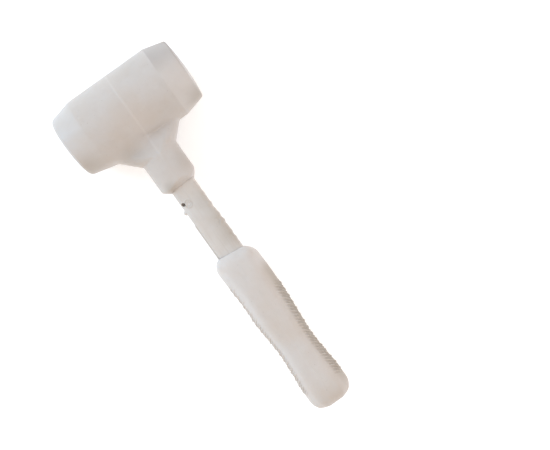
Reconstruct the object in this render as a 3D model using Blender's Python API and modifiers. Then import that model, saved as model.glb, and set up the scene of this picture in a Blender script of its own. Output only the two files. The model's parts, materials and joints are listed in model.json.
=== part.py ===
"""Dead blow mallet, in metres with +Z up.

A steel canister, partly filled with loose steel balls, is moulded into a polymer head. A steel
core runs from a saddle under the canister down the handle, inside a moulded shank and grip.

The mallet lies on its side: the head's axis runs along X and the handle along Y, with the head
at +Y. The origin is on the surface it lies on, under the middle of its length. Every piece is
drawn about the centre of the head, where "down" is the distance from the head's axis towards
the butt of the grip, so a point that far down has a local Y of -down.
"""

import math

import bmesh
import bpy
from mathutils import Matrix, Vector

MM = 0.001
GAP = 0.3 * MM
MERGE_DISTANCE = 0.01 * MM
OVERSHOOT = 2.0 * MM

# Head
HEAD_RADIUS = 27.2 * MM
HEAD_HALF_LENGTH = 50.1 * MM
HEAD_STRAIGHT_HALF = 32.3 * MM
RIM_CENTRE_RADIUS = 21.0 * MM
RIM_FILLET = 2.0 * MM
RIM_FACE_ANGLE = math.radians(80)
RIM_TAPER_ANGLE = math.radians(15)
FACE_FLAT_RADIUS = 12.0 * MM
FACE_CROWN = 0.8 * MM

# Neck and socket under the head
NECK_RADIUS = 14.0 * MM
NECK_TOP_HALF_DEPTH = 8.2 * MM
NECK_TOP_DOWN = 18.0 * MM
NECK_BOTTOM_DOWN = 40.5 * MM
SOCKET_RADIUS = 14.7 * MM
SOCKET_TOP_DOWN = 39.9 * MM
SOCKET_BOTTOM_DOWN = 66.8 * MM
SOCKET_TOP_CHAMFER = 0.7 * MM
SOCKET_CORNER = 4.3 * MM

# Canister of shot, on the head's axis
BALL_DIAMETER = 9.525 * MM
BALL_PITCH = 9.9 * MM
BALLS_ROUND_CENTRE = 6
SHOT_LAYERS = 5
SHOT_TRAVEL_EACH_WAY = 7.0 * MM
TUBE_INNER_RADIUS = 15.3 * MM
TUBE_WALL = 2.0 * MM
CAP_WEB = 2.5 * MM
CAP_DEPTH = 6.5 * MM
CAP_SKIRT_WALL = 1.6 * MM

# Steel core and the saddle that joins it to the canister
CORE_RADIUS = 4.5 * MM
CORE_TOP_DOWN = 19.3 * MM
CORE_BOTTOM_DOWN = 232.0 * MM
CORE_CHAMFER = 0.8 * MM
SADDLE_HALF_WIDTH = 11.0 * MM
SADDLE_HALF_DEPTH = 9.0 * MM
SADDLE_TOP_DOWN = 12.0 * MM
SADDLE_BOTTOM_DOWN = 27.0 * MM
SADDLE_CORNER = 2.0 * MM

# Shank moulding, a bar that runs from inside the socket to near the butt
SHANK_TOP_DOWN = 44.0 * MM
SHANK_STEP_DOWN = 94.9 * MM
SHANK_BOTTOM_DOWN = 243.0 * MM
SHANK_CORNER = 3.2 * MM
UPPER_SHANK_HALF_WIDTH = 9.2 * MM
UPPER_SHANK_HALF_DEPTH = 8.4 * MM
LOWER_SHANK_HALF_WIDTH = 9.7 * MM
LOWER_SHANK_HALF_DEPTH = 8.8 * MM
LOCATING_HOLE_RADIUS = 1.25 * MM
LOCATING_HOLE_X = -7.1 * MM
LOCATING_HOLE_DOWN = 78.8 * MM
LOCATING_HOLE_DEPTH = 5.0 * MM

# Grip: (down, half width, half depth, share of the width that is flat) along its cage
GRIP_TOP_DOWN = 123.6 * MM
GRIP_BOTTOM_DOWN = 253.1 * MM
GRIP_STATIONS = (
    (123.0 * MM, 10.9 * MM, 10.1 * MM, 0.80),
    (127.6 * MM, 15.2 * MM, 12.1 * MM, 0.64),
    (134.5 * MM, 16.9 * MM, 13.1 * MM, 0.58),
    (160.0 * MM, 16.8 * MM, 13.4 * MM, 0.56),
    (184.0 * MM, 15.2 * MM, 12.8 * MM, 0.60),
    (205.0 * MM, 13.0 * MM, 11.8 * MM, 0.68),
    (225.0 * MM, 15.4 * MM, 12.4 * MM, 0.60),
    (239.0 * MM, 16.6 * MM, 13.4 * MM, 0.57),
    (249.5 * MM, 14.2 * MM, 11.8 * MM, 0.58),
    (253.35 * MM, 6.4 * MM, 5.6 * MM, 0.60),
)
GRIP_SIDE_HEIGHT = 0.34

HEAD_STEPS = 48
SOCKET_STEPS = 40
SMALL_STEPS = 32
BALL_SEGMENTS = 10
BALL_RINGS = 6
ARC_POINTS = 5
CORNER_SEGMENTS = 4
GRIP_SUBDIVISIONS = 2

# The screw modifier turns about local Z, and these turn that axis to the one named
TURN_TO = {
    "X": (0.0, math.pi / 2, 0.0),
    "-X": (0.0, -math.pi / 2, 0.0),
    "Y": (-math.pi / 2, 0.0, 0.0),
    "Z": (0.0, 0.0, 0.0),
}


def clear_scene():
    for obj in list(bpy.data.objects):
        bpy.data.objects.remove(obj, do_unlink=True)


def new_collection(name):
    collection = bpy.data.collections.new(name)
    bpy.context.scene.collection.children.link(collection)
    return collection


def new_material(name, colour, roughness, metallic):
    material = bpy.data.materials.new(name)
    material.use_nodes = True
    shader = material.node_tree.nodes["Principled BSDF"]
    shader.inputs["Base Color"].default_value = (*colour, 1.0)
    shader.inputs["Roughness"].default_value = roughness
    shader.inputs["Metallic"].default_value = metallic
    material.diffuse_color = (*colour, 1.0)
    return material


def new_empty(name, collection, parent=None):
    empty = bpy.data.objects.new(name, None)
    collection.objects.link(empty)
    empty.parent = parent
    return empty


def new_part(name, mesh, parent, material=None):
    """A piece of the mallet, or a cutter or helper shape where no material is given."""
    obj = bpy.data.objects.new(name, mesh)
    obj.parent = parent
    if material is None:
        CUTTERS.objects.link(obj)
        obj.hide_render = True
        obj.display_type = "WIRE"
    else:
        MALLET.objects.link(obj)
        mesh.materials.append(material)
    return obj


def arc(centre, radius, start, end):
    """Points along an arc of a (radius, height) profile, the angles measured from its radius."""
    steps = [start + (end - start) * i / (ARC_POINTS - 1) for i in range(ARC_POINTS)]
    return [(centre[0] + radius * math.cos(a), centre[1] + radius * math.sin(a)) for a in steps]


def turned(name, profile, axis, steps, parent, material=None, closed=False):
    """A turned piece: its (radius, height) profile runs down the outer side, top to bottom."""
    mesh = bpy.data.meshes.new(name)
    points = [(radius, 0.0, height) for radius, height in profile]
    edges = [(i, i + 1) for i in range(len(points) - 1)]
    if closed:
        edges.append((len(points) - 1, 0))
    mesh.from_pydata(points, edges, [])
    obj = new_part(name, mesh, parent, material)
    obj.rotation_euler = TURN_TO[axis]
    screw = obj.modifiers.new("turn", "SCREW")
    screw.steps = steps
    screw.render_steps = steps
    screw.use_merge_vertices = True
    screw.merge_threshold = MERGE_DISTANCE
    screw.use_smooth_shade = True
    return obj


def bar(name, half_width, half_depth, top_down, bottom_down, corner, parent, material=None):
    """A straight bar along the handle, with its four long edges rounded."""
    bm = bmesh.new()
    size = Matrix.Diagonal((2 * half_width, bottom_down - top_down, 2 * half_depth, 1.0))
    place = Matrix.Translation((0.0, -(top_down + bottom_down) / 2, 0.0))
    bmesh.ops.create_cube(bm, size=1.0, matrix=place @ size)
    long_edges = [e for e in bm.edges if abs((e.verts[0].co - e.verts[1].co).y) > half_width]
    bmesh.ops.bevel(
        bm,
        geom=long_edges,
        offset=corner,
        segments=CORNER_SEGMENTS,
        profile=0.5,
        affect="EDGES",
    )
    mesh = bpy.data.meshes.new(name)
    bm.to_mesh(mesh)
    bm.free()
    mesh.shade_smooth()
    mesh.set_sharp_from_angle(angle=math.radians(40))
    return new_part(name, mesh, parent, material)


def rod_cutter(name, radius, top_down, bottom_down, parent):
    """A plain cylinder down the handle's axis, to cut a bore with."""
    profile = [(0.0, -top_down), (radius, -top_down), (radius, -bottom_down), (0.0, -bottom_down)]
    return turned(name, profile, "Y", SMALL_STEPS, parent)


def combine(obj, other, operation):
    boolean = obj.modifiers.new(other.name, "BOOLEAN")
    boolean.operation = operation
    boolean.object = other


def head_profile():
    """From the centre of one face to the centre of the other, symmetric about the middle."""
    rim_centre_height = HEAD_HALF_LENGTH - FACE_CROWN - RIM_FILLET * math.sin(RIM_FACE_ANGLE)
    rim = arc(
        (RIM_CENTRE_RADIUS, rim_centre_height), RIM_FILLET, RIM_FACE_ANGLE, RIM_TAPER_ANGLE
    )
    face_edge_radius = rim[0][0]
    crown_middle = (
        (FACE_FLAT_RADIUS + face_edge_radius) / 2,
        HEAD_HALF_LENGTH - FACE_CROWN / 4,
    )
    half = [(0.0, HEAD_HALF_LENGTH), (FACE_FLAT_RADIUS, HEAD_HALF_LENGTH), crown_middle]
    half += rim
    half.append((HEAD_RADIUS, HEAD_STRAIGHT_HALF))
    return half + [(radius, -height) for radius, height in reversed(half)]


def make_neck(parent):
    """A round column whose upper ring is drawn out along the head, at 45 degrees, and thinned."""
    length = NECK_BOTTOM_DOWN - NECK_TOP_DOWN
    bm = bmesh.new()
    bmesh.ops.create_cone(
        bm,
        cap_ends=True,
        segments=SOCKET_STEPS,
        radius1=NECK_RADIUS,
        radius2=NECK_RADIUS,
        depth=length,
        matrix=Matrix.Translation((0.0, -(NECK_TOP_DOWN + NECK_BOTTOM_DOWN) / 2, 0.0))
        @ Matrix.Rotation(-math.pi / 2, 4, "X"),
    )
    middle = -(NECK_TOP_DOWN + NECK_BOTTOM_DOWN) / 2
    for vert in bm.verts:
        if vert.co.y < middle:
            continue
        vert.co.z *= NECK_TOP_HALF_DEPTH / NECK_RADIUS
        if abs(vert.co.x) > MERGE_DISTANCE:
            vert.co.x += math.copysign(length, vert.co.x)
    mesh = bpy.data.meshes.new("neck")
    bm.to_mesh(mesh)
    bm.free()
    return new_part("neck", mesh, parent)


def make_socket(parent):
    """The round collar below the neck, with a rolled lower edge."""
    lower_corner = (SOCKET_RADIUS - SOCKET_CORNER, SOCKET_CORNER - SOCKET_BOTTOM_DOWN)
    top = SOCKET_TOP_CHAMFER - SOCKET_TOP_DOWN
    profile = [
        (0.0, top),
        (SOCKET_RADIUS - SOCKET_TOP_CHAMFER, top),
        (SOCKET_RADIUS, -SOCKET_TOP_DOWN),
    ]
    profile += arc(lower_corner, SOCKET_CORNER, 0.0, -math.pi / 2)
    profile.append((0.0, -SOCKET_BOTTOM_DOWN))
    return turned("socket", profile, "Y", SOCKET_STEPS, parent)


def canister_half_length():
    """From the middle of the tube to the inner face of a cap."""
    shot_half_length = ((SHOT_LAYERS - 1) * BALL_PITCH + BALL_DIAMETER) / 2
    return shot_half_length + SHOT_TRAVEL_EACH_WAY + GAP


def make_head_casing(parent, material):
    """Head, neck and socket as one moulding, hollow for the canister, the saddle, the core and the shank."""
    casing = turned("head_casing", head_profile(), "X", HEAD_STEPS, parent, material)
    combine(casing, make_neck(parent), "UNION")
    combine(casing, make_socket(parent), "UNION")

    pocket_radius = TUBE_INNER_RADIUS + TUBE_WALL + GAP
    pocket_half = canister_half_length() + CAP_DEPTH + GAP
    profile = [
        (0.0, pocket_half),
        (pocket_radius, pocket_half),
        (pocket_radius, -pocket_half),
        (0.0, -pocket_half),
    ]
    combine(casing, turned("canister_pocket", profile, "X", SMALL_STEPS, parent), "DIFFERENCE")
    saddle_pocket = bar(
        "saddle_pocket",
        SADDLE_HALF_WIDTH + GAP,
        SADDLE_HALF_DEPTH + GAP,
        SADDLE_TOP_DOWN,
        SADDLE_BOTTOM_DOWN + GAP,
        SADDLE_CORNER,
        parent,
    )
    combine(casing, saddle_pocket, "DIFFERENCE")
    passage = rod_cutter(
        "core_passage",
        CORE_RADIUS + GAP,
        SADDLE_BOTTOM_DOWN - OVERSHOOT,
        SHANK_TOP_DOWN + OVERSHOOT,
        parent,
    )
    combine(casing, passage, "DIFFERENCE")
    tenon_pocket = bar(
        "tenon_pocket",
        UPPER_SHANK_HALF_WIDTH + GAP,
        UPPER_SHANK_HALF_DEPTH + GAP,
        SHANK_TOP_DOWN - GAP,
        SOCKET_BOTTOM_DOWN + OVERSHOOT,
        SHANK_CORNER,
        parent,
    )
    combine(casing, tenon_pocket, "DIFFERENCE")
    return casing


def make_canister(parent, tube_steel, cap_steel):
    """The tube along the head's axis and the cup pressed into each end of it."""
    inner_half = canister_half_length()
    half = inner_half + CAP_DEPTH
    outer = TUBE_INNER_RADIUS + TUBE_WALL
    tube = [(outer, half), (outer, -half), (TUBE_INNER_RADIUS, -half), (TUBE_INNER_RADIUS, half)]
    turned("canister_tube", tube, "X", SMALL_STEPS, parent, tube_steel, closed=True)

    cap_outer = TUBE_INNER_RADIUS - GAP
    cap_inner = cap_outer - CAP_SKIRT_WALL
    cup = [
        (0.0, CAP_WEB),
        (cap_inner, CAP_WEB),
        (cap_inner, CAP_DEPTH),
        (cap_outer, CAP_DEPTH),
        (cap_outer, 0.0),
        (0.0, 0.0),
    ]
    right = turned("canister_cap_right", cup, "X", SMALL_STEPS, parent, cap_steel)
    right.location.x = inner_half
    left = turned("canister_cap_left", cup, "-X", SMALL_STEPS, parent, cap_steel)
    left.location.x = -inner_half


def make_saddle(parent, material):
    """The block under the canister, hollowed to fit its tube and bored for the core."""
    saddle = bar(
        "canister_saddle",
        SADDLE_HALF_WIDTH,
        SADDLE_HALF_DEPTH,
        SADDLE_TOP_DOWN,
        SADDLE_BOTTOM_DOWN,
        SADDLE_CORNER,
        parent,
        material,
    )
    reach = SADDLE_HALF_WIDTH + OVERSHOOT
    seat_radius = TUBE_INNER_RADIUS + TUBE_WALL + GAP
    seat = [(0.0, reach), (seat_radius, reach), (seat_radius, -reach), (0.0, -reach)]
    combine(saddle, turned("saddle_seat", seat, "X", SMALL_STEPS, parent), "DIFFERENCE")
    bore = rod_cutter(
        "saddle_bore",
        CORE_RADIUS + GAP,
        CORE_TOP_DOWN - GAP,
        SADDLE_BOTTOM_DOWN + OVERSHOOT,
        parent,
    )
    combine(saddle, bore, "DIFFERENCE")


def make_core(parent, material):
    """The steel rod from the saddle down to the butt end of the shank."""
    profile = [
        (0.0, -CORE_TOP_DOWN),
        (CORE_RADIUS - CORE_CHAMFER, -CORE_TOP_DOWN),
        (CORE_RADIUS, -CORE_TOP_DOWN - CORE_CHAMFER),
        (CORE_RADIUS, -CORE_BOTTOM_DOWN + CORE_CHAMFER),
        (CORE_RADIUS - CORE_CHAMFER, -CORE_BOTTOM_DOWN),
        (0.0, -CORE_BOTTOM_DOWN),
    ]
    turned("handle_core", profile, "Y", SMALL_STEPS, parent, material)


def make_shank(parent, material):
    """The shank moulding: a slim upper bar, a slightly larger lower bar, and the bore for the core."""
    shank = bar(
        "handle_shank",
        UPPER_SHANK_HALF_WIDTH,
        UPPER_SHANK_HALF_DEPTH,
        SHANK_TOP_DOWN,
        SHANK_STEP_DOWN + OVERSHOOT,
        SHANK_CORNER,
        parent,
        material,
    )
    lower = bar(
        "lower_shank",
        LOWER_SHANK_HALF_WIDTH,
        LOWER_SHANK_HALF_DEPTH,
        SHANK_STEP_DOWN,
        SHANK_BOTTOM_DOWN,
        SHANK_CORNER,
        parent,
    )
    combine(shank, lower, "UNION")
    bore = rod_cutter(
        "shank_bore",
        CORE_RADIUS + GAP,
        SHANK_TOP_DOWN - OVERSHOOT,
        CORE_BOTTOM_DOWN + GAP,
        parent,
    )
    combine(shank, bore, "DIFFERENCE")

    hole = turned(
        "locating_hole",
        [
            (0.0, OVERSHOOT),
            (LOCATING_HOLE_RADIUS, OVERSHOOT),
            (LOCATING_HOLE_RADIUS, -LOCATING_HOLE_DEPTH),
            (0.0, -LOCATING_HOLE_DEPTH),
        ],
        "Z",
        SMALL_STEPS,
        parent,
    )
    hole.location = (LOCATING_HOLE_X, -LOCATING_HOLE_DOWN, UPPER_SHANK_HALF_DEPTH)
    combine(shank, hole, "DIFFERENCE")


def grip_ring(half_width, half_depth, flat_share):
    """Eight points round the grip: flat front and back, sloping sides, and a narrow edge."""
    flat = half_width * flat_share
    side = half_depth * GRIP_SIDE_HEIGHT
    quarter = [(half_width, side), (flat, half_depth)]
    upper = quarter + [(-x, z) for x, z in reversed(quarter)]
    return upper + [(-x, -z) for x, z in upper]


def make_grip(parent, material):
    """The grip moulded round the shank: a soft form through its stations, bored to fit the shank."""
    bm = bmesh.new()
    rings = []
    for down, half_width, half_depth, flat_share in GRIP_STATIONS:
        ring = grip_ring(half_width, half_depth, flat_share)
        rings.append([bm.verts.new((x, -down, z)) for x, z in ring])
    count = len(rings[0])
    for upper, lower in zip(rings, rings[1:]):
        for i in range(count):
            j = (i + 1) % count
            bm.faces.new((upper[i], upper[j], lower[j], lower[i]))
    bm.faces.new(rings[0])
    bm.faces.new(rings[-1])
    bmesh.ops.recalc_face_normals(bm, faces=bm.faces)
    mesh = bpy.data.meshes.new("grip_sleeve")
    bm.to_mesh(mesh)
    bm.free()
    mesh.shade_smooth()
    grip = new_part("grip_sleeve", mesh, parent, material)
    smooth = grip.modifiers.new("smooth", "SUBSURF")
    smooth.levels = GRIP_SUBDIVISIONS
    smooth.render_levels = GRIP_SUBDIVISIONS
    pocket = bar(
        "shank_pocket",
        LOWER_SHANK_HALF_WIDTH + GAP,
        LOWER_SHANK_HALF_DEPTH + GAP,
        GRIP_TOP_DOWN - OVERSHOOT,
        SHANK_BOTTOM_DOWN + GAP,
        SHANK_CORNER,
        parent,
    )
    combine(grip, pocket, "DIFFERENCE")


def make_shot(parent, material):
    """The loose balls, in layers of one ball with six round it, every other layer turned half a step."""
    bm = bmesh.new()
    bmesh.ops.create_uvsphere(
        bm, u_segments=BALL_SEGMENTS, v_segments=BALL_RINGS, radius=BALL_DIAMETER / 2
    )
    mesh = bpy.data.meshes.new("shot_ball")
    bm.to_mesh(mesh)
    bm.free()
    mesh.shade_smooth()
    mesh.materials.append(material)

    step = 2 * math.pi / BALLS_ROUND_CENTRE
    number = 0
    for layer in range(SHOT_LAYERS):
        x = (layer - (SHOT_LAYERS - 1) / 2) * BALL_PITCH
        turn = step / 2 * (layer % 2)
        places = [Vector((x, 0.0, 0.0))]
        for i in range(BALLS_ROUND_CENTRE):
            angle = turn + i * step
            places.append(
                Vector((x, BALL_PITCH * math.cos(angle), BALL_PITCH * math.sin(angle)))
            )
        for place in places:
            number += 1
            ball = bpy.data.objects.new(f"shot_ball_{number:02d}", mesh)
            MALLET.objects.link(ball)
            ball.parent = parent
            ball.location = place


clear_scene()
MALLET = new_collection("dead_blow_mallet")
CUTTERS = new_collection("cutters")

head_polymer = new_material("head_polymer", (0.68, 0.63, 0.58), 0.48, 0.0)
handle_polymer = new_material("handle_polymer", (0.70, 0.65, 0.59), 0.5, 0.0)
grip_polymer = new_material("grip_polymer", (0.73, 0.69, 0.64), 0.55, 0.0)
tube_steel = new_material("tube_steel", (0.42, 0.43, 0.45), 0.4, 1.0)
core_steel = new_material("core_steel", (0.3, 0.3, 0.31), 0.5, 1.0)
shot_steel = new_material("shot_steel", (0.56, 0.57, 0.58), 0.22, 1.0)

head_centre = new_empty("head_centre", MALLET)
head_centre.location = (0.0, (GRIP_BOTTOM_DOWN - HEAD_RADIUS) / 2, HEAD_RADIUS)
shot_charge = new_empty("shot_charge", MALLET, head_centre)

make_head_casing(head_centre, head_polymer)
make_canister(head_centre, tube_steel, tube_steel)
make_saddle(head_centre, core_steel)
make_core(head_centre, core_steel)
make_shank(head_centre, handle_polymer)
make_grip(head_centre, grip_polymer)
make_shot(shot_charge, shot_steel)
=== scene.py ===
import json
import math

import bmesh
import bpy
import numpy as np
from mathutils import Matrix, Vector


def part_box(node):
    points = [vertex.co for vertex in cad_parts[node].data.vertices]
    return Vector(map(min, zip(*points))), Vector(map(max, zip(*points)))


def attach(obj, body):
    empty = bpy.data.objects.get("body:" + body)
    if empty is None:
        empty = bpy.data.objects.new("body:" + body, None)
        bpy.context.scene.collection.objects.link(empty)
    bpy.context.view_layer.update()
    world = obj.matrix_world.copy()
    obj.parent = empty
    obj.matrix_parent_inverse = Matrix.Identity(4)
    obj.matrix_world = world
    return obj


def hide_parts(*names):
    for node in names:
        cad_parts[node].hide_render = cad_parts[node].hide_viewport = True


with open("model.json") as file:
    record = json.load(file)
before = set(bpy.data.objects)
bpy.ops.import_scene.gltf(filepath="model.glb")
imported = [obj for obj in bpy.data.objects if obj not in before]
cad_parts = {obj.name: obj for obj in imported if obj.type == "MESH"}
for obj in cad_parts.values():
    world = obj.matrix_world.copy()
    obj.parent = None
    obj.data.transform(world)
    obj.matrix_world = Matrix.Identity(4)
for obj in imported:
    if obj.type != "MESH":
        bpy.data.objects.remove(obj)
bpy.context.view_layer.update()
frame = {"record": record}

import openvdb
from mathutils import Vector

MM = 0.001

# The mallet's own axes, read from the frame: x runs along the head, "down" is measured from the
# head's axis towards the butt, and z is measured from the middle of the mallet's thickness.
head_low, head_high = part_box("head_casing")
shank_low, shank_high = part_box("handle_shank")
grip_low, grip_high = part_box("grip_sleeve")
tube_low, tube_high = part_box("canister_tube")
cap_low, cap_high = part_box("canister_cap_right")
saddle_low, saddle_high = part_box("canister_saddle")
core_low, core_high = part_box("handle_core")

HEAD_RADIUS = (head_high.z - head_low.z) / 2 / MM
HEAD_HALF = (head_high.x - head_low.x) / 2 / MM
HEAD_Y = head_high.y - HEAD_RADIUS * MM
HEAD_Z = (head_high.z + head_low.z) / 2
GAP = 0.3
CLOSE_GAP = 0.05


def down_of(y):
    """How far a height in the frame lies below the head's axis, in millimetres."""
    return (HEAD_Y - y) / MM


# Head casing, in millimetres. A pair is (left, right). The striking faces are slightly domed, and
# the rims between them and the tapers are rounded.
HEAD_STRAIGHT_HALF = (31.2, 32.3)
RIM_RADIUS = 23.2
RIM_BACK = 47.9
RIM_ROUNDING = (2.0, 1.0)
SHOULDER_ROUNDING = 0.2
FACE_SPHERE_RADIUS = 150.0
NECK_TOP = 16.0
NECK_LAP = 3.0
NECK_FLARE_DROP = 1.0
NECK_LEAN = 3.0
NECK_CORNER = 9.3
NECK_CORNER_FADE = 2.5
NECK_THINNING = 0.24
NECK_SLOPE_SCALE = 0.8
# The neck's fillets at the barrel. The left one grows over NECK_FRONT, in z, into the larger one
# of the front and back, and turns over NECK_MIDDLE, in x, into the right one.
NECK_FILLETS = (1.9, 1.2)
NECK_FRONT_FILLET = 6.5
NECK_FRONT = (4.0, 11.0)
NECK_MIDDLE = (-6.0, 4.0)
SOCKET_TOP = 39.9
SOCKET_BOTTOM = down_of(head_low.y)
SOCKET_RADIUS = 14.7
SOCKET_HALF_DEPTH = 12.6
SOCKET_SHIFT = -0.55
SOCKET_TILT = 0.055
SOCKET_EDGE = 0.9
SOCKET_LIP_DEPTH = 8.7
SOCKET_LIP_ROUNDING = 0.25
SOCKET_BEVEL = (0.75, 1.1)
SOCKET_MIDDLE = (-6.0, 6.0)
SOCKET_TOP_ROUNDING = 0.8
SOCKET_FILLET = 0.5
# The flash along the parting line, lower on the neck than on the barrel. Waves are given as
# (wavelength, phase).
FLASH_SHIFT = -0.3
FLASH_LEAN = 0.072
FLASH_WIDTH = 1.3
FLASH_HEIGHT = 0.2
FLASH_NECK_LOSS = 0.6
FLASH_WANDER = ((23, 0.0), (9, 1.0))
FLASH_UNEVENNESS = ((7.3, 0.3), (3.1, 2.0), (17, 1.1))

# Shank. UPPER_SHANK and LOWER_SHANK are (half width, half depth), above and below its step.
SHANK_TOP = down_of(shank_high.y)
SHANK_BOTTOM = down_of(shank_low.y)
SHANK_STEP = 94.9
SHANK_STEP_RISE = (-0.5, 0.8)
SHANK_SWELL = 20
SHANK_CORNER = 3.2
UPPER_SHANK = (9.2, 8.4)
LOWER_SHANK = (9.7, 8.8)
SHANK_CROWN = 1.0
SHANK_END_ROUNDING = 0.6

# Small marks on the shank's front, as (x, down) or (x, down, z): the slanting hole of a locating
# pin with a raised rim and loops, a small ring, a shallow curl, a pip and a side groove
HOLE_X = -7.1
HOLE_DOWN = 78.8
HOLE_RADIUS = 1.15
HOLE_DEPTH = 5.0
HOLE_SLANT = (0.8, 0.6)
HOLE_STRETCH = 0.72
HOLE_EDGE_ROUNDING = 0.25
HOLE_RIM_HEIGHT = 0.25
LOOPS_FROM_HOLE = (3.2, 1.4)
LOOP_SIZE = (2.4, 2.9)
LOOP_HEIGHT = 0.36
MIDDLE_LINE_HEIGHT = 0.12
RING = (7.5, 71.2)
RING_HEIGHT = 0.3
CURL = (5.6, 101.3)
CURL_SIZE = (1.5, 2.1)
CURL_DEPTH = 0.4
PIP = (-9.4, 84.2, 4.0)
PIP_SIZE = (1.5, 1.7, 2.2)
PIP_FILLET = 0.4
SIDE_GROOVE_X = -8.7
SIDE_GROOVE_TOP = (92.5, 97.0)
SIDE_GROOVE_DEPTH = 0.5
LUMP_HEIGHT = 0.22
LUMP_WAVES = ((7.8, 0.4), (4.9, 1.9))

# Grip. Its stations are (down, half width, half depth), before the shoulder and the butt are
# rounded off, and it lies well inside GRIP_REACH to each side of the handle's axis.
GRIP_TOP = down_of(grip_high.y)
GRIP_BOTTOM = down_of(grip_low.y)
GRIP_REACH = (18.0, 14.0)
GRIP_STATIONS = (
    (122.0, 16.0, 12.4),
    (135.0, 16.2, 12.8),
    (152.0, 16.5, 13.0),
    (174.0, 15.6, 12.6),
    (190.0, 14.3, 11.9),
    (205.0, 13.6, 11.6),
    (219.0, 14.4, 11.9),
    (238.0, 15.8, 12.9),
    (256.0, 15.6, 12.6),
)
# The front is flat this far from its middle where the grip is GRIP_FLAT_AT wide to each side
GRIP_FLAT = 9.2
GRIP_FLAT_AT = 16.0
GRIP_SIDE_HALF = 4.2
GRIP_FRONT_ROUNDING = 2.2
GRIP_EDGE_ROUNDING = 3.0
SHOULDER_LENGTH = 9.7
SHOULDER_DROP = (6.0, 3.0)
SHOULDER_POWER = 2.57
SHOULDER_CORNER = 4.2
GRIP_TOP_TILT = 0.11
GRIP_TOP_SINK = 0.9
GRIP_HOLLOW = 0.75
GRIP_HOLLOW_AT = (158.0, 24.0)
GRIP_TOP_ROUNDING = 0.35
BUTT_ROUNDING = 10.5
GRIP_SEAM_HEIGHT = 0.12

# Ridges on the grip's sides. RIDGE_TOP is (left, right). RIDGE_SIDE says for each side at what
# shares of the half width they start and are full. The heights and the shares of the pitch are
# those of the main ridges, the finer ones between them and the faint ones across.
RIDGE_TOP = (141.0, 156.0)
RIDGE_BOTTOM = 239.0
RIDGE_END_FADES = (8, 5)
RIDGE_PITCH = 5.2
RIDGE_SLANT = 0.68
RIDGE_HEIGHTS = (0.95, 0.6, 0.3)
RIDGE_SIDE = ((0.76, 0.93), (0.62, 0.86))
RIDGE_SHARE = (0.17, 0.14, 0.1)
RIDGE_LEANS = (1, 1, -1)
RIDGE_STARTS = (0.25, 0.75, 0.1)
RIDGE_UNEVENNESS = ((11.3, 0.0), (4.7, 1.0), (2.9, 2.0))
CLEAN_RIDGE_HEIGHT = 0.6

# Canister, core and shot. The saddle's and core's pockets in the casing start inside the barrel,
# so that they open into the canister's.
SADDLE_POCKET_TOP = 10.0
SADDLE_CORNER = 2.0
CORE_PASSAGE_TOP = 20.0
TUBE_WALL = 2.0
CAP_WEB = 2.5
CAP_SKIRT_WALL = 1.6
EDGE_ROUNDING = 0.4
CORE_CHAMFER = 0.8
TURNED_STEPS = 96
BALL_SUBDIVISIONS = 4

# How finely the mouldings' skins are sampled, and how often their points are moved onto them
CASING_VOXEL = 0.575
SHANK_VOXEL = 0.42
GRIP_VOXEL = 0.415
PROJECTIONS = 3
CUTTER_STEPS = 96
CREASE_ANGLE = math.radians(50)


# ---------------------------------------------------------------- distance functions

def round_union(a, b, radius):
    """Two distances joined, with a fillet of this radius where they meet."""
    inside = np.hypot(np.maximum(radius - a, 0), np.maximum(radius - b, 0))
    return np.maximum(radius, np.minimum(a, b)) - inside


def round_meet(a, b, radius):
    """What two distances share, with their common edge rounded over."""
    return -round_union(-a, -b, radius)


def round_box(u, v, half_u, half_v, corner):
    """A rectangle with rounded corners, as a distance in its own plane."""
    out_u = np.abs(u) - half_u + corner
    out_v = np.abs(v) - half_v + corner
    outside = np.hypot(np.maximum(out_u, 0), np.maximum(out_v, 0))
    return outside + np.minimum(np.maximum(out_u, out_v), 0) - corner


def smooth_step(value, start, end):
    t = np.clip((value - start) / (end - start), 0, 1)
    return t * t * (3 - 2 * t)


def bump(value, centre, half_width):
    """One smooth hump, 1 at its centre and 0 beyond its half width."""
    t = np.clip(1 - ((value - centre) / half_width) ** 2, 0, 1)
    return t * t


def waves(value, *terms):
    """A sum of sine waves, each given as (wavelength, phase)."""
    return sum(np.sin(2 * math.pi * value / length + phase) for length, phase in terms)


def curve_through(stations, value):
    """A smooth curve through (position, height) stations, by Catmull-Rom spans."""
    at = np.array([station[0] for station in stations])
    height = np.array([station[1] for station in stations])
    slope = np.gradient(height, at)
    span = np.clip(np.searchsorted(at, value) - 1, 0, len(at) - 2)
    length = at[span + 1] - at[span]
    t = np.clip((value - at[span]) / length, 0, 1)
    start = (2 * t**3 - 3 * t**2 + 1) * height[span] + (t**3 - 2 * t**2 + t) * length * slope[span]
    end = (3 * t**2 - 2 * t**3) * height[span + 1] + (t**3 - t**2) * length * slope[span + 1]
    return start + end


# ---------------------------------------------------------------- meshes from distances

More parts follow.
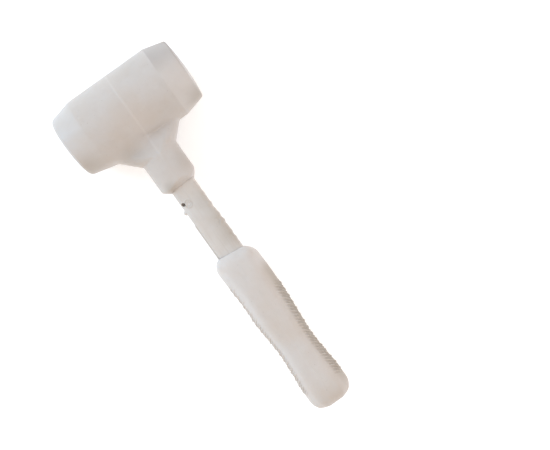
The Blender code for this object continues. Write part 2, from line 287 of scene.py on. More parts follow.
def level_surface(distance, low, high, voxel):
    """Vertices and quads where a distance function of (x, down, z) is zero."""
    axes = [np.arange(a - 3 * voxel, b + 4 * voxel, voxel) for a, b in zip(low, high)]
    field = distance(*np.meshgrid(*axes, indexing="ij"))
    limit = 3 * voxel
    grid = openvdb.FloatGrid(limit)
    grid.copyFromArray(np.ascontiguousarray(np.clip(field, -limit, limit), np.float32))
    points, quads = grid.convertToQuads(isovalue=0.0)
    points = points.astype(float) * voxel + [axis[0] for axis in axes]
    reach = 0.25 * voxel
    for _ in range(PROJECTIONS):
        x, down, z = points.T
        value = distance(x, down, z)
        slope = np.stack(
            [
                distance(x + reach, down, z) - distance(x - reach, down, z),
                distance(x, down + reach, z) - distance(x, down - reach, z),
                distance(x, down, z + reach) - distance(x, down, z - reach),
            ]
        ) / (2 * reach)
        steepness = np.maximum((slope**2).sum(axis=0), 0.1)
        move = np.clip(value / steepness, -voxel / 2, voxel / 2)
        points -= (slope * move).T
    return points, quads


def to_frame(points):
    """From (x, down, z) in millimetres to the frame's metres."""
    x, down, z = np.asarray(points, float).T
    return np.stack([x * MM, HEAD_Y - down * MM, HEAD_Z + z * MM], axis=1)


def make_object(name, points, faces):
    mesh = bpy.data.meshes.new(name)
    mesh.from_pydata(to_frame(points).tolist(), [], [list(map(int, face)) for face in faces])
    mesh.validate()
    obj = bpy.data.objects.new(name, mesh)
    bpy.context.scene.collection.objects.link(obj)
    return obj


def moulded(name, distance, low, high, voxel):
    """A smooth moulding whose skin is the zero of a distance function."""
    points, quads = level_surface(distance, low, high, voxel)
    obj = make_object(name, points, quads[:, ::-1])
    obj.data.shade_smooth()
    return obj


def face_outwards(obj):
    solid = bmesh.new()
    solid.from_mesh(obj.data)
    bmesh.ops.recalc_face_normals(solid, faces=solid.faces)
    solid.to_mesh(obj.data)
    solid.free()


def rod(name, radius, start, end, axis):
    """A closed cylinder along x or along the handle, to cut with."""
    turn = np.arange(CUTTER_STEPS) * 2 * math.pi / CUTTER_STEPS
    rings = []
    for place in (start, end):
        u, v = radius * np.cos(turn), radius * np.sin(turn)
        level = np.full(len(turn), place)
        rings.append(np.stack([level, u, v] if axis == "x" else [u, level, v], axis=1))
    return prism(name, rings)


def bar(name, half_width, half_depth, top, bottom, corner, gap):
    """A closed bar along the handle with rounded long edges, to cut with."""
    steps = CUTTER_STEPS // 2
    turn = (np.arange(steps) + 0.5) * 2 * math.pi / steps
    u = np.cos(turn) * (corner + gap) + np.sign(np.cos(turn)) * (half_width - corner)
    v = np.sin(turn) * (corner + gap) + np.sign(np.sin(turn)) * (half_depth - corner)
    return prism(name, [np.stack([u, np.full(len(turn), d), v], axis=1) for d in (top, bottom)])


def prism(name, rings):
    count = len(rings[0])
    around = range(count)
    sides = [(i, (i + 1) % count, count + (i + 1) % count, count + i) for i in around]
    ends = [tuple(reversed(around)), tuple(range(count, 2 * count))]
    obj = make_object(name, np.concatenate(rings), sides + ends)
    face_outwards(obj)
    return obj


def cut(obj, cutter):
    """Takes the cutter's shape out of the object, and then removes the cutter."""
    boolean = obj.modifiers.new(cutter.name, "BOOLEAN")
    boolean.operation = "DIFFERENCE"
    boolean.solver = "MANIFOLD"
    boolean.object = cutter
    graph = bpy.context.evaluated_depsgraph_get()
    mesh = bpy.data.meshes.new_from_object(obj.evaluated_get(graph))
    obj.modifiers.clear()
    old = obj.data
    obj.data = mesh
    bpy.data.meshes.remove(old)
    bpy.data.objects.remove(cutter)


def mark_groove_shade(obj, depth):
    """Stores a function of (x, down, z) on the piece's points, for where shade is painted into recesses.
    """
    mesh = obj.data
    places = np.empty(3 * len(mesh.vertices))
    mesh.vertices.foreach_get("co", places)
    x, y, z = places.reshape(-1, 3).T
    groove = depth(x / MM, (HEAD_Y - y) / MM, (z - HEAD_Z) / MM)
    store = mesh.attributes.new("groove", "FLOAT", "POINT")
    store.data.foreach_set("value", groove.astype(np.float32))


def finish_piece(obj, node, material, body="mallet"):
    """Shading, material and the calls that tie a piece to the frame."""
    mesh = obj.data
    mesh.shade_smooth()
    mesh.set_sharp_from_angle(angle=CREASE_ANGLE)
    mesh.materials.clear()
    mesh.materials.append(material)
    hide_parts(node)
    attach(obj, body)


# ---------------------------------------------------------------- head casing

def head_distance(x, down, z):
    around = np.hypot(down, z)
    along = np.abs(x)
    barrel = around - HEAD_RADIUS
    straight = np.where(x < 0, *HEAD_STRAIGHT_HALF)
    run = RIM_BACK - straight
    fall = HEAD_RADIUS - RIM_RADIUS
    taper = ((around - HEAD_RADIUS) * run + (along - straight) * fall) / np.hypot(run, fall)
    body = round_meet(barrel, taper, SHOULDER_ROUNDING)
    centre = HEAD_HALF - FACE_SPHERE_RADIUS
    face = np.hypot(along - centre, around) - FACE_SPHERE_RADIUS
    return round_meet(body, face, np.where(x < 0, *RIM_ROUNDING))


def neck_distance(x, down, z):
    """A gusset that widens at 45 degrees and thins towards the barrel, starting higher on the right."""
    left = np.clip(SOCKET_TOP + NECK_FLARE_DROP - down, 0, None)
    right = np.clip(SOCKET_TOP + NECK_FLARE_DROP - NECK_LEAN - down, 0, None)
    corner = NECK_CORNER + (SOCKET_RADIUS - NECK_CORNER) * np.exp(-left / NECK_CORNER_FADE)
    middle = (right - left) / 2 + SOCKET_SHIFT
    half_width = SOCKET_RADIUS + (left + right) / 2
    half_depth = SOCKET_RADIUS - NECK_THINNING * left
    deep = z * SOCKET_RADIUS / SOCKET_HALF_DEPTH
    section = round_box(x - middle, deep, half_width, half_depth, np.minimum(corner, half_depth))
    ends = np.maximum(NECK_TOP - down, down - SOCKET_TOP - NECK_LAP)
    return np.maximum(section * NECK_SLOPE_SCALE, ends)


def socket_distance(x, down, z):
    """A round socket, slightly flattened, bevelled at its lower edge down to the shank's four sides."""
    radius = np.hypot(x - SOCKET_SHIFT, z * SOCKET_RADIUS / SOCKET_HALF_DEPTH)
    bottom = down + SOCKET_TILT * x - SOCKET_BOTTOM
    steepness = SOCKET_BEVEL[0] + (SOCKET_BEVEL[1] - SOCKET_BEVEL[0]) * smooth_step(x, *SOCKET_MIDDLE)
    bevel = steepness * round_box(x, z, UPPER_SHANK[0], SOCKET_LIP_DEPTH, SHANK_CORNER) + bottom
    body = round_meet(radius - SOCKET_RADIUS, bevel / np.hypot(steepness, 1), SOCKET_EDGE)
    body = round_meet(body, bottom, SOCKET_LIP_ROUNDING)
    return round_meet(body, SOCKET_TOP - down, SOCKET_TOP_ROUNDING)


def casing_distance(x, down, z):
    in_front = smooth_step(np.abs(z), *NECK_FRONT)
    left = NECK_FILLETS[0] + (NECK_FRONT_FILLET - NECK_FILLETS[0]) * in_front
    fillet = left + (NECK_FILLETS[1] - left) * smooth_step(x, *NECK_MIDDLE)
    neck = round_union(head_distance(x, down, z), neck_distance(x, down, z), fillet)
    body = round_union(neck, socket_distance(x, down, z), SOCKET_FILLET)
    flash_x = FLASH_SHIFT + FLASH_LEAN * z + 0.1 * waves(down + z, *FLASH_WANDER)
    flash = FLASH_HEIGHT * bump(x, flash_x, FLASH_WIDTH / 2)
    flash = flash * (1 - FLASH_NECK_LOSS * smooth_step(down, HEAD_RADIUS - 4, HEAD_RADIUS + 2))
    return body - flash * (1 + 0.12 * waves(down - z, *FLASH_UNEVENNESS))


def make_head_casing(material):
    low = (-HEAD_HALF, -HEAD_RADIUS, -HEAD_RADIUS)
    high = (HEAD_HALF, SOCKET_BOTTOM, HEAD_RADIUS)
    casing = moulded("head_casing_moulding", casing_distance, low, high, CASING_VOXEL)
    pocket_radius = (tube_high.z - tube_low.z) / 2 / MM + GAP
    pocket_half = cap_high.x / MM + GAP
    saddle = [(saddle_high.x - saddle_low.x) / 2 / MM, (saddle_high.z - saddle_low.z) / 2 / MM]
    core_radius = (core_high.x - core_low.x) / 2 / MM
    cut(casing, rod("canister_pocket", pocket_radius, -pocket_half, pocket_half, "x"))
    saddle_end = down_of(saddle_low.y) + GAP
    cut(casing, bar("saddle_pocket", *saddle, SADDLE_POCKET_TOP, saddle_end, SADDLE_CORNER, GAP))
    cut(casing, rod("core_passage", core_radius + GAP, CORE_PASSAGE_TOP, SHANK_TOP + 1, "down"))
    tenon_end = SOCKET_BOTTOM + 5
    cut(casing, bar("tenon_pocket", *UPPER_SHANK, SHANK_TOP - GAP, tenon_end, SHANK_CORNER, CLOSE_GAP))
    finish_piece(casing, "head_casing", material)


# ---------------------------------------------------------------- shank

def shank_front(z):
    """1 on the shank's front, falling to 0 before its sides."""
    return smooth_step(z, 4.0, 6.5)


def pin_loops(x, down):
    """Two loops left by the locating pin, to the right of its slanting hole."""
    sideways = (x - HOLE_X - LOOPS_FROM_HOLE[0]) / LOOP_SIZE[0]
    endways = (down - HOLE_DOWN - LOOPS_FROM_HOLE[1]) / LOOP_SIZE[1]
    loop = np.hypot(sideways, endways)
    return bump(loop, 1.0, 0.24) + 0.8 * bump(loop, 0.5, 0.22)


def side_groove(x, down, z):
    """A shallow groove along the lower shank's left edge."""
    return bump(x, SIDE_GROOVE_X, 0.9) * smooth_step(z, 1.0, 4.0) * smooth_step(down, *SIDE_GROOVE_TOP)


def shank_distance(x, down, z):
    lower = smooth_step(down - SHANK_STEP, *SHANK_STEP_RISE)
    half_width = UPPER_SHANK[0] + (LOWER_SHANK[0] - UPPER_SHANK[0]) * lower
    deeper = smooth_step(down, SHANK_STEP - SHANK_SWELL, SHANK_STEP + SHANK_SWELL)
    half_depth = UPPER_SHANK[1] + (LOWER_SHANK[1] - UPPER_SHANK[1]) * deeper
    half_depth = half_depth - SHANK_CROWN * np.clip(np.abs(x) / half_width, 0, 1) ** 2
    side = round_box(x, z, half_width, half_depth, SHANK_CORNER)
    ends = np.abs(down - (SHANK_TOP + SHANK_BOTTOM) / 2) - (SHANK_BOTTOM - SHANK_TOP) / 2
    body = round_meet(side, ends, SHANK_END_ROUNDING)
    on_front = shank_front(z)
    on_right = smooth_step(x, 6.0, 8.0)

    # The slanting hole of the locating pin, and the marks around it
    cosine, sine = HOLE_SLANT
    across = (x - HOLE_X) * cosine - (down - HOLE_DOWN) * sine
    along = (x - HOLE_X) * sine + (down - HOLE_DOWN) * cosine
    around_hole = np.hypot(across, along * HOLE_STRETCH)
    loops = LOOP_HEIGHT * pin_loops(x, down)
    rim = HOLE_RIM_HEIGHT * bump(around_hole, HOLE_RADIUS + 0.35, 0.5)
    middle = MIDDLE_LINE_HEIGHT * bump(x, 0.5, 0.9)
    ring = RING_HEIGHT * bump(np.hypot(x - RING[0], down - RING[1]), 1.2, 0.6)
    body = body - on_front * (loops + rim + middle + ring)

    # The right edge is slightly lumpy, and the left one has a groove and a pip
    lumps = LUMP_HEIGHT * waves(down, *LUMP_WAVES) * bump(down, 100.0, 38.0)
    body = body - on_right * lumps + SIDE_GROOVE_DEPTH * side_groove(x, down, z)
    pip = np.hypot((x - PIP[0]) / PIP_SIZE[0], (down - PIP[1]) / PIP_SIZE[1])
    pip = np.hypot(pip, (z - PIP[2]) / PIP_SIZE[2])
    body = round_union(body, (pip - 1) * PIP_SIZE[0], PIP_FILLET)

    # A shallow curl, open on its left
    curl = np.hypot((x - CURL[0]) / CURL_SIZE[0], (down - CURL[1]) / CURL_SIZE[1])
    body = body + CURL_DEPTH * on_front * bump(curl, 1.0, 0.3) * smooth_step(x - CURL[0], -1.4, 0.8)
    hole = np.maximum(around_hole - HOLE_RADIUS, UPPER_SHANK[1] - HOLE_DEPTH - z)
    return round_meet(body, -hole, HOLE_EDGE_ROUNDING)


def shank_groove_shade(x, down, z):
    """Painted shade on the shank: in the side groove, and less around the pin's loops."""
    return np.clip(0.8 * side_groove(x, down, z) + 0.5 * shank_front(z) * pin_loops(x, down), 0, 1)


def make_shank(material):
    low = (-LOWER_SHANK[0] - 1, SHANK_TOP, -LOWER_SHANK[1])
    high = (LOWER_SHANK[0] + 1, SHANK_BOTTOM, LOWER_SHANK[1])
    shank = moulded("handle_shank_moulding", shank_distance, low, high, SHANK_VOXEL)
    core_radius = (core_high.x - core_low.x) / 2 / MM
    cut(shank, rod("core_bore", core_radius + GAP, SHANK_TOP - 2, down_of(core_low.y) + GAP, "down"))
    mark_groove_shade(shank, shank_groove_shade)
    finish_piece(shank, "handle_shank", material)


# ---------------------------------------------------------------- grip

def grip_half_width(down):
    return curve_through([station[:2] for station in GRIP_STATIONS], down)


def grip_half_depth(down):
    return curve_through([station[::2] for station in GRIP_STATIONS], down)


def ridge_cover(x, down):
    """Where the sides carry ridges: 1 well inside, falling to 0 at the front and at both ends."""
    out = np.abs(x) / grip_half_width(down)
    side = np.where(x < 0, smooth_step(out, *RIDGE_SIDE[0]), smooth_step(out, *RIDGE_SIDE[1]))
    start = np.where(x < 0, *RIDGE_TOP)
    top = smooth_step((down - start) / RIDGE_END_FADES[0], 0, 1)
    return side * top * smooth_step(-down, -RIDGE_BOTTOM, RIDGE_END_FADES[1] - RIDGE_BOTTOM)


def ridge_relief(x, down, z):
    """Slanting ridges on each side of the grip, every second one finer, and faint ones crossing them."""
    along = down / RIDGE_PITCH
    across = RIDGE_SLANT * z / RIDGE_PITCH
    relief = 0
    for lean, start, height, share in zip(RIDGE_LEANS, RIDGE_STARTS, RIDGE_HEIGHTS, RIDGE_SHARE):
        wander = 0.035 * waves(down + 2 * z, (31, start), (13, 9 * start), (6.1, 5 * start))
        phase = (along + lean * across + start + wander) % 1.0
        relief = np.maximum(relief, height * bump(phase, 0.5, share))
    strength = 1 + 0.14 * waves(down - z, *RIDGE_UNEVENNESS)
    return relief * strength * ridge_cover(x, down)


def grip_distance(x, down, z):
    hollow = GRIP_HOLLOW * bump(down, *GRIP_HOLLOW_AT)
    x = x - hollow
    top = GRIP_TOP + GRIP_TOP_SINK + GRIP_TOP_TILT * x
    shoulder = np.clip(1 - (down - top) / SHOULDER_LENGTH, 0, 1.1) ** SHOULDER_POWER
    half_width = grip_half_width(down) - hollow - SHOULDER_DROP[0] * shoulder
    half_depth = grip_half_depth(down) - SHOULDER_DROP[1] * shoulder
    wide = np.abs(x)
    deep = np.abs(z)
    flat = GRIP_FLAT * half_width / GRIP_FLAT_AT
    run = half_width - flat
    fall = half_depth - GRIP_SIDE_HALF
    slope = ((wide - flat) * fall + (deep - half_depth) * run) / np.hypot(run, fall)
    sides = round_meet(wide - half_width, slope, GRIP_EDGE_ROUNDING)
    faceted = round_meet(sides, deep - half_depth, GRIP_FRONT_ROUNDING)
    squarer = smooth_step(-down, -top - 1.2 * SHOULDER_LENGTH, -top)
    section = faceted + (round_box(x, z, half_width, half_depth, SHOULDER_CORNER) - faceted) * squarer
    body = round_meet(section, top - down, GRIP_TOP_ROUNDING)
    body = round_meet(body, down - GRIP_BOTTOM, BUTT_ROUNDING)
    seam = GRIP_SEAM_HEIGHT * bump(x, 0.3, 0.8) * smooth_step(z, 4.0, 6.0)
    return body - ridge_relief(x, down, z) - seam


def grip_groove_shade(x, down, z):
    """Painted shade on the grip: between its ridges, and not on them."""
    filled = np.clip(ridge_relief(x, down, z) / (CLEAN_RIDGE_HEIGHT * RIDGE_HEIGHTS[0]), 0, 1)
    return np.maximum(ridge_cover(x, down) - filled, 0)


def make_grip(material):
    wide, deep = GRIP_REACH
    low = (-wide, GRIP_TOP, -deep)
    high = (wide, GRIP_BOTTOM, deep)
    grip = moulded("grip_sleeve_moulding", grip_distance, low, high, GRIP_VOXEL)
    pocket_end = SHANK_BOTTOM + GAP
    cut(grip, bar("shank_pocket", *LOWER_SHANK, GRIP_TOP - 3, pocket_end, SHANK_CORNER, CLOSE_GAP))
    mark_groove_shade(grip, grip_groove_shade)
    finish_piece(grip, "grip_sleeve", material)


# ---------------------------------------------------------------- canister, core and shot

def turned(name, profile, axis):
    """A piece turned about x or the handle's axis from its (along, radius) profile.

    The profile either starts and ends on the axis or comes back to its first point.
    """
    turn = np.arange(TURNED_STEPS) * 2 * math.pi / TURNED_STEPS
    points = []
    rings = []
    for along, radius in profile:
        if radius == 0:
            rings.append([len(points)] * TURNED_STEPS)
            points.append((along, 0.0, 0.0))
        elif rings and (along, radius) == profile[0]:
            rings.append(rings[0])
        else:
            rings.append([len(points) + i for i in range(TURNED_STEPS)])
            points += [(along, radius * math.cos(a), radius * math.sin(a)) for a in turn]
    faces = []
    for near, far in zip(rings, rings[1:]):
        for i in range(TURNED_STEPS):
            j = (i + 1) % TURNED_STEPS
            faces.append(list(dict.fromkeys([near[i], near[j], far[j], far[i]])))
    if axis == "down":
        points = [(u, along, v) for along, u, v in points]
    obj = make_object(name, points, faces)
    face_outwards(obj)
    return obj


def softened(profile, edge):
    """The same open profile with each of its inner corners rounded by three points."""
    soft = [profile[0]]
    for before, corner, after in zip(profile, profile[1:], profile[2:]):
        before, corner, after = np.array(before), np.array(corner), np.array(after)
        back = (before - corner) * edge / np.linalg.norm(before - corner)
        on = (after - corner) * edge / np.linalg.norm(after - corner)
        soft += [tuple(corner + back), tuple(corner + 0.3 * (back + on)), tuple(corner + on)]
    return soft + [profile[-1]]


def make_tube(material):
    outer = (tube_high.z - tube_low.z) / 2 / MM
    inner = outer - TUBE_WALL
    half = (tube_high.x - tube_low.x) / 2 / MM
    wall = [(0.0, outer), (half, outer), (half, inner), (-half, inner), (-half, outer), (0.0, outer)]
    tube = turned("canister_tube_drawn", softened(wall, EDGE_ROUNDING), "x")
    finish_piece(tube, "canister_tube", material)


def make_cap(node, side, material):
    """A pressed cup with its web against the shot and its skirt turned out."""
    low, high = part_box(node)
    outer = (high.z - low.z) / 2 / MM
    web, skirt = sorted((abs(low.x) / MM, abs(high.x) / MM))
    cup = [
        (web + CAP_WEB, 0.0),
        (web + CAP_WEB, outer - CAP_SKIRT_WALL),
        (skirt, outer - CAP_SKIRT_WALL),
        (skirt, outer),
        (web, outer),
        (web, 0.0),
    ]
    profile = [(side * along, radius) for along, radius in softened(cup, EDGE_ROUNDING)]
    finish_piece(turned(node + "_pressed", profile, "x"), node, material)


def make_core(material):
    radius = (core_high.x - core_low.x) / 2 / MM
    top = down_of(core_high.y)
    bottom = down_of(core_low.y)
    outline = [(top, 0.0), (top, radius), (bottom, radius), (bottom, 0.0)]
    core = turned("handle_core_rod", softened(outline, CORE_CHAMFER), "down")
    finish_piece(core, "handle_core", material)


def make_shot(material):
    for node in frame["record"]["behaviour"]["bodies"]["shot_charge"]:
        low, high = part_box(node)
        solid = bmesh.new()
        bmesh.ops.create_icosphere(solid, subdivisions=BALL_SUBDIVISIONS, radius=(high.x - low.x) / 2)
        bmesh.ops.translate(solid, verts=solid.verts, vec=(low + high) / 2)
        mesh = bpy.data.meshes.new(node + "_ground")
        solid.to_mesh(mesh)
        solid.free()
        ball = bpy.data.objects.new(node + "_ground", mesh)
        bpy.context.scene.collection.objects.link(ball)
        finish_piece(ball, node, material, "shot_charge")


# ---------------------------------------------------------------- materials

# Brown for real specks, and for painted shade in recesses: between the grip's ridges, in the shank's
# side groove and around the pin's loops
DIRT_AND_SHADE = (0.30, 0.25, 0.20)
OXIDE = (0.22, 0.15, 0.10)

# Tints: what a piece's own colour is multiplied by
WARM = (0.97, 0.93, 0.89)
DULL = (0.93, 0.93, 0.93)
BRIGHT = (1.08, 1.08, 1.08)
SEAM_TINT = (1.3, 1.3, 1.3)
STEEL_GRAIN = (0.82, 0.82, 0.82)
# The next three paint light and shade: the first and the last darken as painted shade, the middle one
# lightens as painted light
SHADE_TINT = (0.55, 0.50, 0.42)
LIGHTER = (1.16, 1.17, 1.18)
DARKER = (0.72, 0.71, 0.71)

# The polymer's patterns, in millimetres, and how two of them are drawn out along x, y and z
CLOUD_SIZE = 34
MOTTLE_SIZE = 5.5
FLOW_LINE_SIZE = 1.4
FLOW_LINE_STRETCH = (0.9, 0.03, 0.9)
SPECK_SIZE = 1.1
SCUFF_SIZE = 1.6
SCUFF_STRETCH = (0.35, 0.8, 0.6)
POLISH_SIZE = 14
SWELL_SIZE = 7
GRAIN_SIZE = 0.55
SEAM_WIDTHS = (0.2, 1.5)
SEAM_FADE = (34, 50)

# Soft patches of painted shade and painted light, darker or lighter where shade or light falls: (centre
# as x, down, z), radius, share, tint
# The head's patches are all painted shade: at the right rim, the lower tapers, the neck and the socket's
# foot
HEAD_SHADE_PATCHES = (
    ((-17.0, 32.0, 8.0), 14.0, 0.26, SHADE_TINT),
    ((49.0, -22.0, 8.0), 10.0, 0.55, SHADE_TINT),
    ((-44.0, 22.0, 12.0), 20.0, 0.42, SHADE_TINT),
    ((46.0, 24.0, 8.0), 18.0, 0.5, SHADE_TINT),
    ((-24.0, 24.0, 20.0), 26.0, 0.1, SHADE_TINT),
    ((24.0, 24.0, 20.0), 26.0, 0.14, SHADE_TINT),
    ((20.0, -22.0, 18.0), 24.0, 0.12, SHADE_TINT),
    ((13.0, 52.0, 8.0), 14.0, 0.25, SHADE_TINT),
    ((-7.0, 65.0, 10.0), 8.0, 0.42, SHADE_TINT),
    ((-8.0, 33.0, 14.0), 16.0, 0.1, SHADE_TINT),
)
# The shank's right side darker as painted shade and its left side lighter as painted light, more so
# lower down
SHANK_LIGHT_AND_SHADE_PATCHES = tuple(
    patch
    for down, share in ((84.0, 0.36), (100.0, 0.42), (114.0, 0.5))
    for patch in (((10.0, down, 5.0), 15.0, share, SHADE_TINT), ((-9.0, down, 7.0), 11.0, 0.3, LIGHTER))
)
# The grip's right side and its butt darker as painted shade, and its left shoulder lighter as a painted
# highlight
GRIP_LIGHT_AND_SHADE_PATCHES = (
    *(((19.0, float(down), 3.0), 16.0, 0.75, SHADE_TINT) for down in range(152, 244, 12)),
    ((0.0, 252.0, 10.0), 24.0, 0.2, SHADE_TINT),
    ((-11.0, 127.0, 8.0), 15.0, 0.5, LIGHTER),
)

# Bands of painted light and shade past a place along the head: the left taper lighter, the right taper
# darker at its top and lighter lower down, and a dark line at the right rim. Columns: side, where the
# band starts, how far down it is full and where it is gone, share, tint
HEAD_LIGHT_AND_SHADE_BANDS = (
    (-1, HEAD_STRAIGHT_HALF[0], -30.0, 30.0, 0.1, LIGHTER),
    (1, HEAD_STRAIGHT_HALF[1], -14.0, 2.0, 0.62, DARKER),
    (1, HEAD_STRAIGHT_HALF[1], 8.0, -6.0, 0.3, LIGHTER),
    (1, RIM_BACK - 0.6, -22.0, 24.0, 0.75, DARKER),
)


class Shader:
    """A material and short names for the nodes that its pattern is built from."""

    def __init__(self, name, colour, roughness, metallic=0.0):
        self.material = bpy.data.materials.new(name)
        self.material.use_nodes = True
        self.tree = self.material.node_tree
        self.surface = self.tree.nodes["Principled BSDF"]
        self.set("Base Color", (*colour, 1))
        self.set("Roughness", roughness)
        self.set("Metallic", metallic)
        self.place = self.add("ShaderNodeTexCoord").outputs["Object"]

    def set(self, socket, value):
        self.surface.inputs[socket].default_value = value

    def link(self, output, socket):
        self.tree.links.new(output, self.surface.inputs[socket])

    def add(self, kind, inputs=None, **settings):
        node = self.tree.nodes.new(kind)
        for key, value in settings.items():
            setattr(node, key, value)
        for key, value in (inputs or {}).items():
            if isinstance(value, bpy.types.NodeSocket):
                self.tree.links.new(value, node.inputs[key])
            else:
                node.inputs[key].default_value = value
        return node

    def stretched(self, scale):
        return self.add("ShaderNodeMapping", {"Vector": self.place, "Scale": scale}).outputs[0]

    def noise(self, size, detail=2.0, where=None):
        """Cloudy noise about 0.5, its patches about this many millimetres across."""
        inputs = {"Vector": where or self.place, "Scale": 1 / (size * MM), "Detail": detail}
        return self.add("ShaderNodeTexNoise", inputs).outputs["Fac"]

    def ranged(self, value, low, high, new_low=0.0, new_high=1.0):
        """A value read smoothly from the range low to high onto the range new_low to new_high."""
        inputs = {"Value": value, "From Min": low, "From Max": high}
        inputs.update({"To Min": new_low, "To Max": new_high})
        return self.add("ShaderNodeMapRange", inputs, interpolation_type="SMOOTHSTEP").outputs[0]

    def maths(self, operation, first, second):
        return self.add("ShaderNodeMath", {0: first, 1: second}, operation=operation).outputs[0]

    def mixed(self, share, first, second):
        """Two colours mixed by a share of the second."""
        node = self.add("ShaderNodeMix", data_type="RGBA")
        for socket, value in ((0, share), (6, first), (7, second)):
            if isinstance(value, bpy.types.NodeSocket):
                self.tree.links.new(value, node.inputs[socket])
            else:
                node.inputs[socket].default_value = value if socket == 0 else (*value, 1)
        return node.outputs[2]

    def attribute(self, name):
        return self.add("ShaderNodeAttribute", attribute_name=name).outputs["Fac"]

    def close_to(self, centre, radius):
        """1 at a point given as (x, down, z) in millimetres, falling smoothly to 0 at the radius."""
        point = to_frame([centre])[0]
        apart = self.add("ShaderNodeVectorMath", {0: self.place, 1: tuple(point)}, operation="DISTANCE")
        return self.ranged(apart.outputs["Value"], 0.0, radius * MM, 1.0, 0.0)

    def bumped(self, height, distance, strength=1.0, under=None):
        inputs = {"Height": height, "Distance": distance * MM, "Strength": strength}
        if under:
            inputs["Normal"] = under
        return self.add("ShaderNodeBump", inputs).outputs[0]


def tinted(tone, colour):
    return tuple(min(1.0, part * tint) for part, tint in zip(colour, tone))


def polymer_colour(shader, pale, streak):
    """Cloudy and mottled colour with flow lines and specks, and how scuffed each place is."""
    warm = tinted(WARM, pale)
    dull = tinted(DULL, warm)
    cloud = shader.ranged(shader.noise(CLOUD_SIZE, 3.0), 0.36, 0.66)
    colour = shader.mixed(cloud, pale, warm)
    mottle = shader.ranged(shader.noise(MOTTLE_SIZE, 4.0), 0.45, 0.75, 0.0, 0.3)
    colour = shader.mixed(mottle, colour, dull)
    if streak:
        lines = shader.noise(FLOW_LINE_SIZE, 3.0, shader.stretched(FLOW_LINE_STRETCH))
        colour = shader.mixed(shader.ranged(lines, 0.48, 0.75, 0.0, streak), colour, dull)
    speck = shader.ranged(shader.noise(SPECK_SIZE, 1.0), 0.74, 0.79, 0.0, 0.35)
    colour = shader.mixed(speck, colour, DIRT_AND_SHADE)
    scuffs = shader.noise(SCUFF_SIZE, 5.0, shader.stretched(SCUFF_STRETCH))
    scuffed = shader.ranged(scuffs, 0.6, 0.72, 0.0, 0.25)
    return shader.mixed(scuffed, colour, tinted(BRIGHT, pale)), scuffed


def banded(shader, colour, pale, bands):
    """Bands of painted light and shade past a place along the head, which fade out down the mallet."""
    place = shader.add("ShaderNodeSeparateXYZ", {"Vector": shader.place}).outputs
    for side, start, full_at, none_at, share, tone in bands:
        outwards = shader.maths("MULTIPLY", place["X"], side)
        past = shader.ranged(outwards, (start - 0.3) * MM, (start + 0.4) * MM)
        below = shader.maths("SUBTRACT", HEAD_Y, place["Y"])
        faded = shader.ranged(below, none_at * MM, full_at * MM, 0.0, share)
        colour = shader.mixed(shader.maths("MULTIPLY", past, faded), colour, tinted(tone, pale))
    return colour


def seamed(shader, colour, pale, share):
    """A paler line along the head's parting line, which fades out down the neck."""
    place = shader.add("ShaderNodeSeparateXYZ", {"Vector": shader.place}).outputs
    lean = shader.maths("MULTIPLY", shader.maths("SUBTRACT", place["Z"], HEAD_Z), FLASH_LEAN)
    off = shader.maths("SUBTRACT", shader.maths("SUBTRACT", place["X"], lean), FLASH_SHIFT * MM)
    inner, outer = SEAM_WIDTHS
    near = shader.ranged(shader.maths("ABSOLUTE", off, 0.0), inner * MM, outer * MM, share, 0.0)
    full_at, none_at = SEAM_FADE
    kept = shader.ranged(place["Y"], HEAD_Y - none_at * MM, HEAD_Y - full_at * MM)
    return shader.mixed(shader.maths("MULTIPLY", near, kept), colour, tinted(SEAM_TINT, pale))


def moulded_polymer(name, pale, roughness, streak=0.0, groove=0.0, seam=0.0, patches=(), bands=()):
    """Off-white moulded polymer: cloudy colour, faint flow lines, specks, scuffs and a fine grain, with
    painted light and shade in bands, patches and grooves where given.
    """
    shader = Shader(name, pale, roughness)
    colour, scuffed = polymer_colour(shader, pale, streak)
    if bands:
        colour = banded(shader, colour, pale, bands)
    # Patches of painted shade and painted light
    for centre, radius, share, tone in patches:
        patch = shader.maths("MULTIPLY", shader.close_to(centre, radius), share)
        colour = shader.mixed(patch, colour, tinted(tone, pale))
    # Painted shade in recesses, from the stored groove function
    if groove:
        colour = shader.mixed(shader.maths("MULTIPLY", shader.attribute("groove"), groove), colour, DIRT_AND_SHADE)
    if seam:
        colour = seamed(shader, colour, pale, seam)
    shader.link(colour, "Base Color")

    polish = shader.noise(POLISH_SIZE, 4.0)
    patchy = shader.ranged(polish, 0.3, 0.7, roughness - 0.06, roughness + 0.08)
    shader.link(shader.maths("ADD", patchy, shader.maths("MULTIPLY", scuffed, 0.4)), "Roughness")
    swells = shader.bumped(shader.noise(SWELL_SIZE, 2.0), 0.25, 0.3)
    grain = shader.bumped(shader.noise(GRAIN_SIZE, 3.0), 0.04, 0.4, swells)
    shader.link(grain, "Normal")
    shader.set("Subsurface Weight", 0.12)
    shader.set("Subsurface Radius", (1.0, 0.75, 0.55))
    shader.set("Subsurface Scale", 3 * MM)
    shader.set("Specular IOR Level", 0.42)
    return shader.material


def steel(name, colour, roughness, grain_stretch=(1.0, 1.0, 1.0)):
    """Steel with a drawn or turned grain, a varied polish and spots of dull oxide."""
    shader = Shader(name, colour, roughness, metallic=1.0)
    grain = shader.noise(0.8, 4.0, shader.stretched(grain_stretch))
    rust = shader.ranged(shader.noise(4.5, 5.0), 0.58, 0.7, 0.0, 0.7)
    tone = shader.mixed(shader.ranged(grain, 0.3, 0.7), tinted(STEEL_GRAIN, colour), colour)
    shader.link(shader.mixed(rust, tone, OXIDE), "Base Color")
    rough = shader.ranged(grain, 0.3, 0.75, roughness - 0.07, roughness + 0.12)
    shader.link(shader.maths("ADD", rough, shader.maths("MULTIPLY", rust, 0.25)), "Roughness")
    shader.link(shader.bumped(grain, 0.05, 0.3), "Normal")
    return shader.material


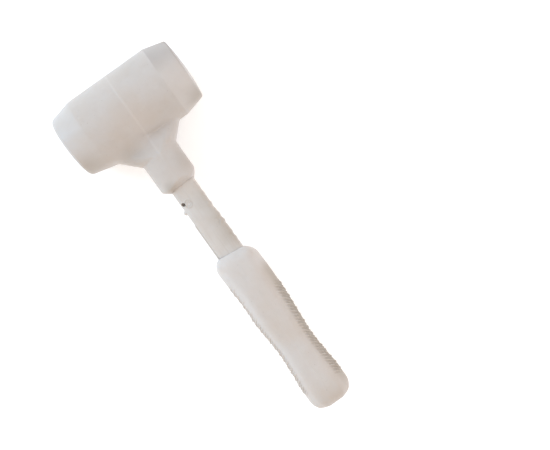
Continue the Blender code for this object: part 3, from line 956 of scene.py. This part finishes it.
# ---------------------------------------------------------------- camera, floor and lights

# The camera looks almost straight down on the mallet's side, and is turned so that the handle
# runs to the lower right of the picture.
CAMERA_OFFSET = Vector((36.33 * MM, -125.85 * MM, 539.64 * MM))
CAMERA_TURN = (math.radians(-0.097), math.radians(-0.109), math.radians(-35.52))
CAMERA_LENS = 50.0
CAMERA_SENSOR = 36.0

FLOOR_HALF = 4.0
FLOOR_COLOUR = (0.93, 0.93, 0.93)
FLOOR_GLOW = 0.3
STUDIO_LIGHT = (1.0, 0.92, 0.846)
STUDIO_STRENGTH = 0.977
LAMP_SIZE = 0.7
# Name, place, power in watts and colour; each lamp is aimed at the origin
LAMPS = (
    ("upper_left", (-0.55, 0.75, 0.55), 5.25, (0.352, 0.691, 1.0)),
    ("right", (0.9, -0.05, 0.45), 1.03, (0.35, 0.62, 1.0)),
)


def make_camera():
    data = bpy.data.cameras.new("camera")
    data.lens = CAMERA_LENS
    data.sensor_width = CAMERA_SENSOR
    camera = bpy.data.objects.new("camera", data)
    camera.location = Vector((0.0, HEAD_Y, HEAD_Z)) + CAMERA_OFFSET
    camera.rotation_euler = CAMERA_TURN
    bpy.context.scene.collection.objects.link(camera)
    bpy.context.scene.camera = camera


def make_floor():
    """A plain pale floor at the height of the mallet's lowest point, glowing faintly against shadows."""
    corners = [(x * FLOOR_HALF, y * FLOOR_HALF, 0) for x, y in ((-1, -1), (1, -1), (1, 1), (-1, 1))]
    mesh = bpy.data.meshes.new("floor")
    mesh.from_pydata(corners, [], [(0, 1, 2, 3)])
    floor = bpy.data.objects.new("floor", mesh)
    bpy.context.scene.collection.objects.link(floor)
    material = bpy.data.materials.new("floor_paint")
    material.use_nodes = True
    shader = material.node_tree.nodes["Principled BSDF"]
    shader.inputs["Base Color"].default_value = (*FLOOR_COLOUR, 1)
    shader.inputs["Roughness"].default_value = 0.9
    shader.inputs["Emission Color"].default_value = (1, 1, 1, 1)
    shader.inputs["Emission Strength"].default_value = FLOOR_GLOW
    mesh.materials.append(material)


def make_lamp(name, place, power, colour):
    data = bpy.data.lights.new(name, "AREA")
    data.shape = "DISK"
    data.size = LAMP_SIZE
    data.energy = power
    data.color = colour
    lamp = bpy.data.objects.new(name, data)
    lamp.location = place
    lamp.rotation_euler = (-Vector(place)).to_track_quat("-Z", "Y").to_euler()
    bpy.context.scene.collection.objects.link(lamp)


def make_lights():
    """Even warm light from all round, and a cool soft lamp on either side, the left one stronger."""
    world = bpy.data.worlds.new("studio")
    world.use_nodes = True
    background = world.node_tree.nodes["Background"]
    background.inputs["Color"].default_value = (*STUDIO_LIGHT, 1)
    background.inputs["Strength"].default_value = STUDIO_STRENGTH
    bpy.context.scene.world = world
    for lamp in LAMPS:
        make_lamp(*lamp)


# ---------------------------------------------------------------- the mallet and its studio

head_finish = moulded_polymer(
    "head_polymer_finish", (0.583, 0.552, 0.536), 0.46, seam=0.16,
    patches=HEAD_SHADE_PATCHES, bands=HEAD_LIGHT_AND_SHADE_BANDS)
handle_finish = moulded_polymer(
    "handle_polymer_finish", (0.613, 0.58, 0.556), 0.48, streak=0.6, groove=0.5, patches=SHANK_LIGHT_AND_SHADE_PATCHES)
grip_finish = moulded_polymer(
    "grip_polymer_finish", (0.622, 0.589, 0.57), 0.52, groove=0.5, patches=GRIP_LIGHT_AND_SHADE_PATCHES)
make_head_casing(head_finish)
make_shank(handle_finish)
make_grip(grip_finish)

drawn = steel("tube_drawn_steel", (0.56, 0.55, 0.53), 0.34, (0.08, 1.0, 1.0))
pressed = steel("cap_pressed_steel", (0.60, 0.59, 0.57), 0.30)
forged = steel("core_forged_steel", (0.40, 0.39, 0.38), 0.42, (1.0, 0.05, 1.0))
ground = steel("shot_ground_steel", (0.66, 0.66, 0.65), 0.16, (0.7, 0.7, 0.7))
make_tube(drawn)
make_cap("canister_cap_right", 1, pressed)
make_cap("canister_cap_left", -1, pressed)
make_core(forged)
make_shot(ground)
# The saddle keeps its CAD shape
bpy.data.objects["canister_saddle"].material_slots[0].material = forged
make_camera()
make_floor()
make_lights()
bpy.context.scene.view_settings.view_transform = "Standard"
